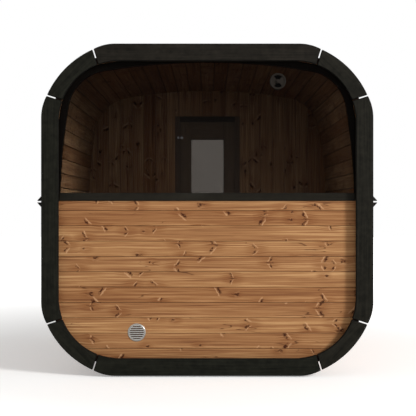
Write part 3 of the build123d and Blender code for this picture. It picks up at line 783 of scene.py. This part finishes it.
def moulded(name, dark, light, gloss, mirroring=0.04):
    """Injection-moulded plastic, even in colour, with a fine spark-eroded grain. The pits are
    drawn 0.7 mm wide, coarser than real ones, so that they show."""
    return grained_skin(name, dark, light, gloss, mirroring, grain=PITS_PER_METRE, depth=0.2,
                        cloud=30.0, detail=3.0)


def carve(piece, tools):
    """Cuts the shapes of other pieces out of a piece; the other pieces go."""
    for tool in tools:
        only(piece)
        bpy.ops.object.modifier_add(type="BOOLEAN")
        carving = piece.modifiers[-1]
        carving.operation = "DIFFERENCE"
        carving.solver = "EXACT"
        carving.object = tool
        bpy.ops.object.modifier_apply(modifier=carving.name)
        bpy.data.objects.remove(tool)


valve_plastic = moulded("dark_polypropylene", "#1c1916", "#282420", gloss=(0.4, 0.52))
valve = closed_copy("window_vent")
valve_low, valve_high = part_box("window_vent")
valve_middle = (valve_low + valve_high) / 2
pane_low, pane_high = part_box("window_glass")
dishes = []
for face, way in ((pane_low.y - VALVE_FLANGE, -1), (pane_high.y + VALVE_FLANGE, 1)):
    bed = face - way * VALVE_DISH_DEPTH
    clear = face + way * CUTTER_CLEARANCE
    profile = [(VALVE_DISH_INNER, clear), (VALVE_DISH_OUTER, clear), (VALVE_DISH_OUTER, face),
               (VALVE_DISH_OUTER - VALVE_DISH_DEPTH, bed), (VALVE_DISH_INNER, bed),
               (VALVE_DISH_INNER, clear)]
    axis_point = Vector((valve_middle.x, 0, valve_middle.z))
    dishes.append(turned("dish", axis_point, "Y", profile, sides=64))
carve(valve, dishes)
ease(valve, VALVE_EASED_EDGE, segments=3)
smooth(valve)
valve.name = "window_valve"
fit(valve, valve_plastic, "cabin", "vent_plastic", "window_vent")

# Behind the valve's windows lies its fly screen: flat strands of black polyester laid
# crosswise and fused into the barrel. It is made near-black and mirrors nothing: painted
# shade for the dark inside that the windows open on to.
SCREEN_RADIUS = 0.0445
SCREEN_PITCH = 0.003
STRAND_WIDTH = 0.0026
STRAND_THICKNESS = 0.0006
screen_polyester_and_shade = moulded(
    "black_gauze_and_painted_shade", "#050505", "#0a0a0a", gloss=(0.6, 0.72), mirroring=0.0
)

screen_middle = Vector((valve_middle.x, (pane_low.y + pane_high.y) / 2, valve_middle.z))
rows = int(SCREEN_RADIUS / SCREEN_PITCH)
strands = []
for along, across, depth in (
    (TO_THE_RIGHT, UPWARDS, -STRAND_THICKNESS / 2),
    (UPWARDS, TO_THE_RIGHT, STRAND_THICKNESS / 2),
):
    for row in range(-rows, rows + 1):
        offset = row * SCREEN_PITCH
        length = (SCREEN_RADIUS**2 - offset**2) ** 0.5 * 2
        bpy.ops.mesh.primitive_cube_add(
            size=1, location=screen_middle + across * offset + TO_THE_BACK * depth,
            scale=along * length + across * STRAND_WIDTH + TO_THE_BACK * STRAND_THICKNESS,
        )
        strands.append(bpy.context.object)
screen = join(strands, "valve_fly_screen")
settle(screen)
fit(screen, screen_polyester_and_shade, "cabin", "vent_plastic")

# The louvred vent is stainless sheet: a flange with a rounded lip, eight blades folded down
# against the rain, and a sleeve through the wall that the flange is rolled on to.
LOUVRE_OPENING = 0.055
LOUVRE_SLEEVE = 0.051
LOUVRE_SHEET = 0.0015
BLADES = 8
BLADE_DROP = 0.0080
BLADE_THICKNESS = 0.0009
BLADE_TILT = 34
LIP_BEND = ((0, 0), (1, 0), (0.97, 0.3), (0.82, 0.62), (0.58, 0.87), (0.32, 1), (0.12, 0.9),
            (0, 0.55), (0, 0))

# Brushed stainless steel: fine scratches that run along the blades and round the lip, so a
# light shows on it as a soft streak. They are drawn over 1 mm apart, far coarser than real
# ones, so that they show.
SCRATCH_SPACING = 0.0012

steel, metal = new_material("brushed_stainless_steel")
surface_place = add_node(metal, "TexCoord").outputs["Object"]
scratches = add_node(metal, "Mapping", {"Vector": surface_place,
                                        "Scale": (6, 1 / SCRATCH_SPACING, 6)})
scratches = add_node(metal, "TexNoise", {"Vector": scratches, "Scale": 1.0, "Detail": 3.0})
smears = add_node(metal, "TexNoise", {"Vector": surface_place, "Scale": 9.0, "Detail": 3.0})
dulling = add_node(metal, "Math", [scratches, smears], operation="ADD")
dulling = add_node(metal, "MapRange", [dulling, 0.6, 1.4, 0.26, 0.44])
shade = add_node(metal, "Mix", {0: scratches, 6: linear("#9b9893"), 7: linear("#b9b6b0")},
                 data_type="RGBA")
relief = add_node(metal, "Bump", {"Height": scratches, "Strength": 0.15, "Distance": 0.0001})
surface = add_node(metal, "BsdfPrincipled", {"Base Color": shade, "Metallic": 1.0,
                                             "Roughness": dulling, "Normal": relief})
add_node(metal, "OutputMaterial", {"Surface": surface})

louvre_low, louvre_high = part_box("wall_vent")
louvre_axis = Vector(((louvre_low.x + louvre_high.x) / 2, 0, (louvre_low.z + louvre_high.z) / 2))
lip = (louvre_high.x - louvre_low.x) / 2
front, seat, back = louvre_low.y, wall_low.y, louvre_high.y
depth = seat - front
flange_width = lip - LOUVRE_OPENING
flange = [(LOUVRE_OPENING + flange_width * out, seat - depth * rise) for out, rise in LIP_BEND]
bore, under_flange = LOUVRE_SLEEVE - LOUVRE_SHEET, LOUVRE_OPENING + LOUVRE_SHEET
sleeve = [
    (bore, back), (LOUVRE_SLEEVE, back), (LOUVRE_SLEEVE, seat), (under_flange, seat),
    (under_flange, seat - LOUVRE_SHEET), (bore, seat - LOUVRE_SHEET), (bore, back),
]
parts = [turned("flange", louvre_axis, "Y", flange, sides=96),
         turned("sleeve", louvre_axis, "Y", sleeve, sides=96)]
blade_pitch = 2 * LOUVRE_OPENING / BLADES
for row in range(BLADES):
    rise = -LOUVRE_OPENING + blade_pitch * (row + 0.5)
    furthest = abs(rise) + BLADE_DROP / 3
    half = ((LOUVRE_OPENING - LOUVRE_SHEET / 2) ** 2 - furthest**2) ** 0.5
    bpy.ops.mesh.primitive_cube_add(
        size=1, location=louvre_axis + Vector((0, (front + seat) / 2, rise)),
        rotation=(radians(-BLADE_TILT), 0, 0), scale=(half * 2, BLADE_THICKNESS, BLADE_DROP),
    )
    settle(bpy.context.object)
    parts.append(bpy.context.object)
louvre = join(parts, "wall_louvre")
smooth(louvre)
fit(louvre, steel, "cabin", "stainless", "wall_vent")

# The door end's wall is the same pine boards set upright, with the doorway left between.
# They sit in a groove cut round the staves, as at the window end.
UPRIGHT_JOINT_AT = -0.688
NARROWEST_STRIP = 0.01

boards_across = int(2 * barrel_high.x / BOARD_WIDTH)
for node, number in (
    ("front_wall_left", 350), ("front_wall_over_door", 370), ("front_wall_right", 390)
):
    low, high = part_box(node)
    joints = [UPRIGHT_JOINT_AT + BOARD_WIDTH * n for n in range(-boards_across, boards_across)]
    joints = [x for x in joints if low.x + NARROWEST_STRIP < x < high.x - NARROWEST_STRIP]
    wall = boarded(node, joints, TO_THE_RIGHT, UPWARDS, node + "_boards", number)
    fit(wall, pine, "cabin", "wall_boards", node)

# The door frame and the door are planed pine under a smoky brown stain, a shade darker on
# the jambs and much darker on the head and the sill; the head's near-black is partly painted
# shade, for the shadow along the top of the doorway. The frame has a stop all round.
DOOR_EASED_EDGE = 0.0015

head_stain_and_shade = stained_pine("black_stained_head_pine_and_shade", "#3d3129", "#4f4236", roughness=0.42)
jamb_stain = stained_pine("smoke_stained_jamb_pine", "#634f41", "#7b6553", roughness=0.42)
leaf_stain = stained_pine("smoke_stained_door_pine", "#6c5746", "#866f5a", roughness=0.42)
for node, along, stain, body, slot in (
    ("door_hinge_jamb", UPWARDS, jamb_stain, "cabin", "door_frame"),
    ("door_latch_jamb", UPWARDS, jamb_stain, "cabin", "door_frame"),
    ("door_head", TO_THE_RIGHT, head_stain_and_shade, "cabin", "door_frame"),
    ("door_sill", TO_THE_RIGHT, head_stain_and_shade, "cabin", "door_frame"),
    ("door_hinge_stile", UPWARDS, leaf_stain, "door", "door_leaf"),
    ("door_latch_stile", UPWARDS, leaf_stain, "door", "door_leaf"),
    ("door_top_rail", TO_THE_RIGHT, leaf_stain, "door", "door_leaf"),
    ("door_bottom_rail", TO_THE_RIGHT, leaf_stain, "door", "door_leaf"),
):
    piece = timbers(node, along, DOOR_EASED_EDGE, node + "_timber", number=400)
    fit(piece, stain, body, slot, node)

# The door's long pane is 6 mm toughened glass with a brown-grey tint. It sits in a groove
# in the stiles and rails.
DOOR_TINT = (0.272, 0.228, 0.196)

brown_grey = tinted_glass("brown_grey_float_glass", DOOR_TINT)
coat(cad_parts["door_glass"], brown_grey)

# A pull handle on each side of the door: a straight grip of oiled pine on two posts,
# its edges well rounded for the hand.
GRIP_ROUNDING = 0.004

for node in ("door_handle_outside", "door_handle_inside"):
    handle = timbers(node, UPWARDS, GRIP_ROUNDING, node + "_grip", number=420)
    smooth(handle)
    fit(handle, pine, "door", "handle", node)

# Two lift-off hinges: the lower half with its pin is on the jamb, the upper half on the
# door. They are folded and pressed steel, zinc plated to a dull grey.
HINGE_PLATE = 0.003
PLATE_HEIGHT = 0.05
PLATE_MIDDLE = 0.014
HINGE_EASED_EDGE = 0.0005

zinc = steel.copy()
zinc.name = "zinc_plated_steel"
for node, body in (("hinge_frame_halves", "cabin"), ("hinge_door_halves", "door")):
    hinge = closed_copy(node)
    ease(hinge, HINGE_EASED_EDGE)
    smooth(hinge)
    hinge.name = node + "_steel"
    fit(hinge, zinc, body, "hinge_steel", node)

# Each hinge plate is held by two countersunk zinc-plated screws with a cross recess, set
# upright one over the other in the middle of the plate.
SCREW_RADIUS = 0.0042
SCREW_DOME = 0.0008
RECESS_LENGTH = 0.0044
RECESS_WIDTH = 0.0011
SCREW_FROM_END = 0.012
RECESS_DEPTH = 0.00064
SCREW_HEAD = ((1, 0), (0.8, 0.7), (0.4, 1))

for name, node, body, side in (
    ("frame_hinge_screws", "hinge_frame_halves", "cabin", -1),
    ("door_hinge_screws", "hinge_door_halves", "door", 1),
):
    low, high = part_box(node)
    joints_at = (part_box("hinge_door_halves")[0].z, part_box("hinge_frame_halves")[1].z)
    plate_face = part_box("door_hinge_stile")[1].y + HINGE_PLATE
    plate_middle = low.x + PLATE_MIDDLE if side < 0 else high.x - PLATE_MIDDLE
    head = [(SCREW_RADIUS * wide, SCREW_DOME * high_by) for wide, high_by in SCREW_HEAD]
    screw = turned(name, Vector(), "Y", head, sides=20)
    crosses = []
    for wide, high_by in ((RECESS_LENGTH, RECESS_WIDTH), (RECESS_WIDTH, RECESS_LENGTH)):
        bpy.ops.mesh.primitive_cube_add(
            size=1, location=(0, SCREW_DOME, 0), scale=(wide, RECESS_DEPTH * 2, high_by)
        )
        crosses.append(bpy.context.object)
    carve(screw, crosses)
    places = []
    for joint_at in joints_at:
        for end in (SCREW_FROM_END, PLATE_HEIGHT - SCREW_FROM_END):
            places.append(Vector((plate_middle, plate_face, joint_at + side * end)))
    fit(join(copies(screw, places), name), zinc, body, "hinge_steel")

# Each hinge is bolted right through the jamb and, with a thicker bolt, through the door's
# stile. Inside, snap-on caps of pale grey polyethylene cover the nuts.
JAMB_CAP_RADIUS = 0.0105
STILE_CAP_RADIUS = 0.0130
CAP_HEIGHT = 0.006
CAP_ON_JAMB = -0.001
CAP_ON_STILE = 0.030
CAP_OVER_JOINT = 0.022
CAP_UNDER_TOP = 0.028
CAP_DOME = ((1, 0), (1, 0.4), (0.8, 0.75), (0.45, 0.95), (0.1, 1))

cap_plastic = moulded("pale_grey_polyethylene", "#e6e1dc", "#f3f0ec", gloss=(0.45, 0.57))
jamb_face, stile_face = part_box("door_hinge_jamb")[0].y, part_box("door_hinge_stile")[0].y
hinge_low, hinge_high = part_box("hinge_door_halves")
cap_rows = (hinge_low.z + CAP_OVER_JOINT, hinge_high.z - CAP_UNDER_TOP)
for name, body, across, face, radius in (
    ("frame_nut_caps", "cabin", CAP_ON_JAMB, jamb_face, JAMB_CAP_RADIUS),
    ("door_nut_caps", "door", CAP_ON_STILE, stile_face, STILE_CAP_RADIUS),
):
    dome = [(radius * wide, -CAP_HEIGHT * high_by) for wide, high_by in CAP_DOME]
    cap = turned(name, Vector(), "Y", dome, sides=20)
    smooth(cap)
    places = [Vector((hinge_low.x + across, face, row)) for row in cap_rows]
    fit(join(copies(cap, places), name), cap_plastic, body, "hinge_steel")

# The trim rings at both ends: eight planed pine boards each, 28 mm thick, stained
# brown-black and nailed over the stave ends with an open joint between them. Each side's
# boards get a given tone, lightest at the top, darkest at the bottom and lighter on the right
# than on the left: painted light and shade.
TRIM_EASED_EDGE = 0.005
LEFT_BEND_PAINTED_LIGHT = 0.2
RIGHT_BEND_PAINTED_LIGHT = 0.5

trim_stain = stained_pine("brown_black_stained_trim", "#11110e", "#252420", roughness=0.45)
for end, number in (("rear", 500), ("front", 520)):
    # Painted light and shade: the top board lightest, the bottom darkest, the right lighter than
    # the left.
    for place, along, shade in (
        ("top", TO_THE_RIGHT, 1.0),
        ("bottom", TO_THE_RIGHT, 0.0),
        ("left", UPWARDS, 0.15),
        ("right", UPWARDS, 0.5),
    ):
        node = f"{end}_trim_{place}"
        board = timbers(node, along, TRIM_EASED_EDGE, node + "_board", number, shade)
        fit(board, trim_stain, "cabin", "trim", node)
        number += 1
    node = f"{end}_trim_corners"
    only(closed_copy(node))
    bpy.ops.mesh.separate(type="LOOSE")
    bends = sorted(bpy.context.selected_objects, key=lambda o: tuple(o.bound_box[0]))
    for bend in bends:
        middle = sum((Vector(corner) for corner in bend.bound_box), Vector()) / 8
        outwards = Vector((middle.x, 0, middle.z - axis_height)).normalized()
        ease(bend, TRIM_EASED_EDGE, segments=2)
        shade = RIGHT_BEND_PAINTED_LIGHT if middle.x > 0 else LEFT_BEND_PAINTED_LIGHT
        lay_grain(bend, outwards.cross(TO_THE_BACK), outwards, number, shade)
        number += 1
    fit(join(bends, node + "_boards"), trim_stain, "cabin", "trim", node)

# The view: level, straight at the window end from the height of the barrel's axis. From this
# distance the door wall looks as small behind the window as it does in the photograph.
VIEW_DISTANCE = 6.5
VIEW_WIDTH_AT_TRIM = 2.8766
CAMERA_RIGHT_OF_AXIS = 0.0054
CAMERA_ABOVE_AXIS = 0.0118
SENSOR_WIDTH = 36.0

trim_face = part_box("rear_trim_top")[0].y
bpy.ops.object.camera_add(
    location=(CAMERA_RIGHT_OF_AXIS, trim_face - VIEW_DISTANCE, axis_height + CAMERA_ABOVE_AXIS),
    rotation=(radians(90), 0, 0),
)
camera = bpy.context.object
camera.data.sensor_width = SENSOR_WIDTH
camera.data.lens = SENSOR_WIDTH * VIEW_DISTANCE / VIEW_WIDTH_AT_TRIM
bpy.context.scene.camera = camera
bpy.context.scene.view_settings.view_transform = "Standard"

# The light: a large soft lamp in front on the right, which leaves a strip of the wall in the
# trim's shade, and an even surround that a look, a reflection or a pane shows as white.
KEY_DIRECTION = Vector((0.78, -0.60, 0.42))
KEY_DISTANCE = 22.0
KEY_SIZE = 5.0
KEY_POWER = 4300.0
SURROUND = 0.43

key_target = Vector((0, trim_face, axis_height))
key_place = key_target + KEY_DIRECTION.normalized() * KEY_DISTANCE
bpy.ops.object.light_add(type="AREA", location=key_place)
key = bpy.context.object
key.data.shape = "DISK"
key.data.size = KEY_SIZE
key.data.energy = KEY_POWER
key.rotation_euler = (key_place - key_target).to_track_quat("Z", "Y").to_euler()

# The pane is dark, so soft panels just behind it stand in for the daylight that falls
# through: on the door wall, on the left wall and less on the right wall. No look and no
# reflection sees the panels. A row is a name, the place across and up from the pane's middle,
# the width and height, the power in watts, the spread in degrees and the direction.
PANEL_BEHIND_PANE = 0.08
DAYLIGHT = "#d9e5f6"
PANELS = (
    ("door_wall_panel", (0.0, 0.0), (1.7, 0.7), 5.6, 90, Vector((-0.16, 0.95, -0.42))),
    ("left_wall_panel", (0.1, -0.2), (0.4, 0.4), 6.6, 70, Vector((-1.0, 0.54, -0.34))),
    ("right_wall_panel", (-0.1, -0.1), (0.4, 0.5), 1.5, 80, Vector((1.0, 0.60, -0.15))),
)

for name, (across, up), (wide, high), power, spread, direction in PANELS:
    place = (pane_low + pane_high) / 2 + Vector((across, PANEL_BEHIND_PANE, up))
    bpy.ops.object.light_add(type="AREA", location=place)
    panel = bpy.context.object
    panel.name = name
    panel.data.shape = "RECTANGLE"
    panel.data.size = wide
    panel.data.size_y = high
    panel.data.energy = power
    panel.data.spread = radians(spread)
    panel.data.color = linear(DAYLIGHT)[:3]
    panel.rotation_euler = direction.to_track_quat("-Z", "Y").to_euler()
    panel.visible_camera = False
    panel.visible_glossy = False

world = bpy.data.worlds.new("studio")
world.use_nodes = True
sky = world.node_tree
sky.nodes.clear()
path = add_node(sky, "LightPath")
looked_at = path.outputs["Is Camera Ray"]
for ray in ("Is Glossy Ray", "Is Transmission Ray"):
    looked_at = add_node(sky, "Math", [looked_at, path.outputs[ray]], operation="MAXIMUM")
strength = add_node(sky, "MapRange", [looked_at, 0.0, 1.0, SURROUND, 1.0])
surround = add_node(sky, "Background", {"Strength": strength, "Color": linear("#ffffff")})
add_node(sky, "OutputWorld", {"Surface": surround})
bpy.context.scene.world = world

# The floor: a plain pale sheet that keeps the cabin's shadow. Where nothing shades it, what
# it gives off to a look brings it up to the white of the surround.
FLOOR_SIZE = 60.0
FLOOR_LIFT = 0.32
FLOOR_NEAR = 2.0
FLOOR_FAR = 7.0

bpy.ops.mesh.primitive_plane_add(size=FLOOR_SIZE, location=(0, 0, cad_low.z))
floor = bpy.context.object
floor.name = "studio_floor"
paper, sheet = new_material("white_paper")
path = add_node(sheet, "LightPath")
matte = add_node(sheet, "BsdfDiffuse", {"Color": linear("#f4f3f1")})
spot = add_node(sheet, "TexCoord").outputs["Object"]
far = add_node(sheet, "VectorMath", [spot], operation="LENGTH").outputs["Value"]
lift = add_node(sheet, "MapRange", [far, FLOOR_NEAR, FLOOR_FAR, FLOOR_LIFT, 1.0])
lift = add_node(sheet, "Math", [path.outputs["Is Camera Ray"], lift], operation="MULTIPLY")
glow = add_node(sheet, "Emission", {"Strength": lift})
both = add_node(sheet, "AddShader", [matte, glow])
add_node(sheet, "OutputMaterial", {"Surface": both})
floor.data.materials.append(paper)
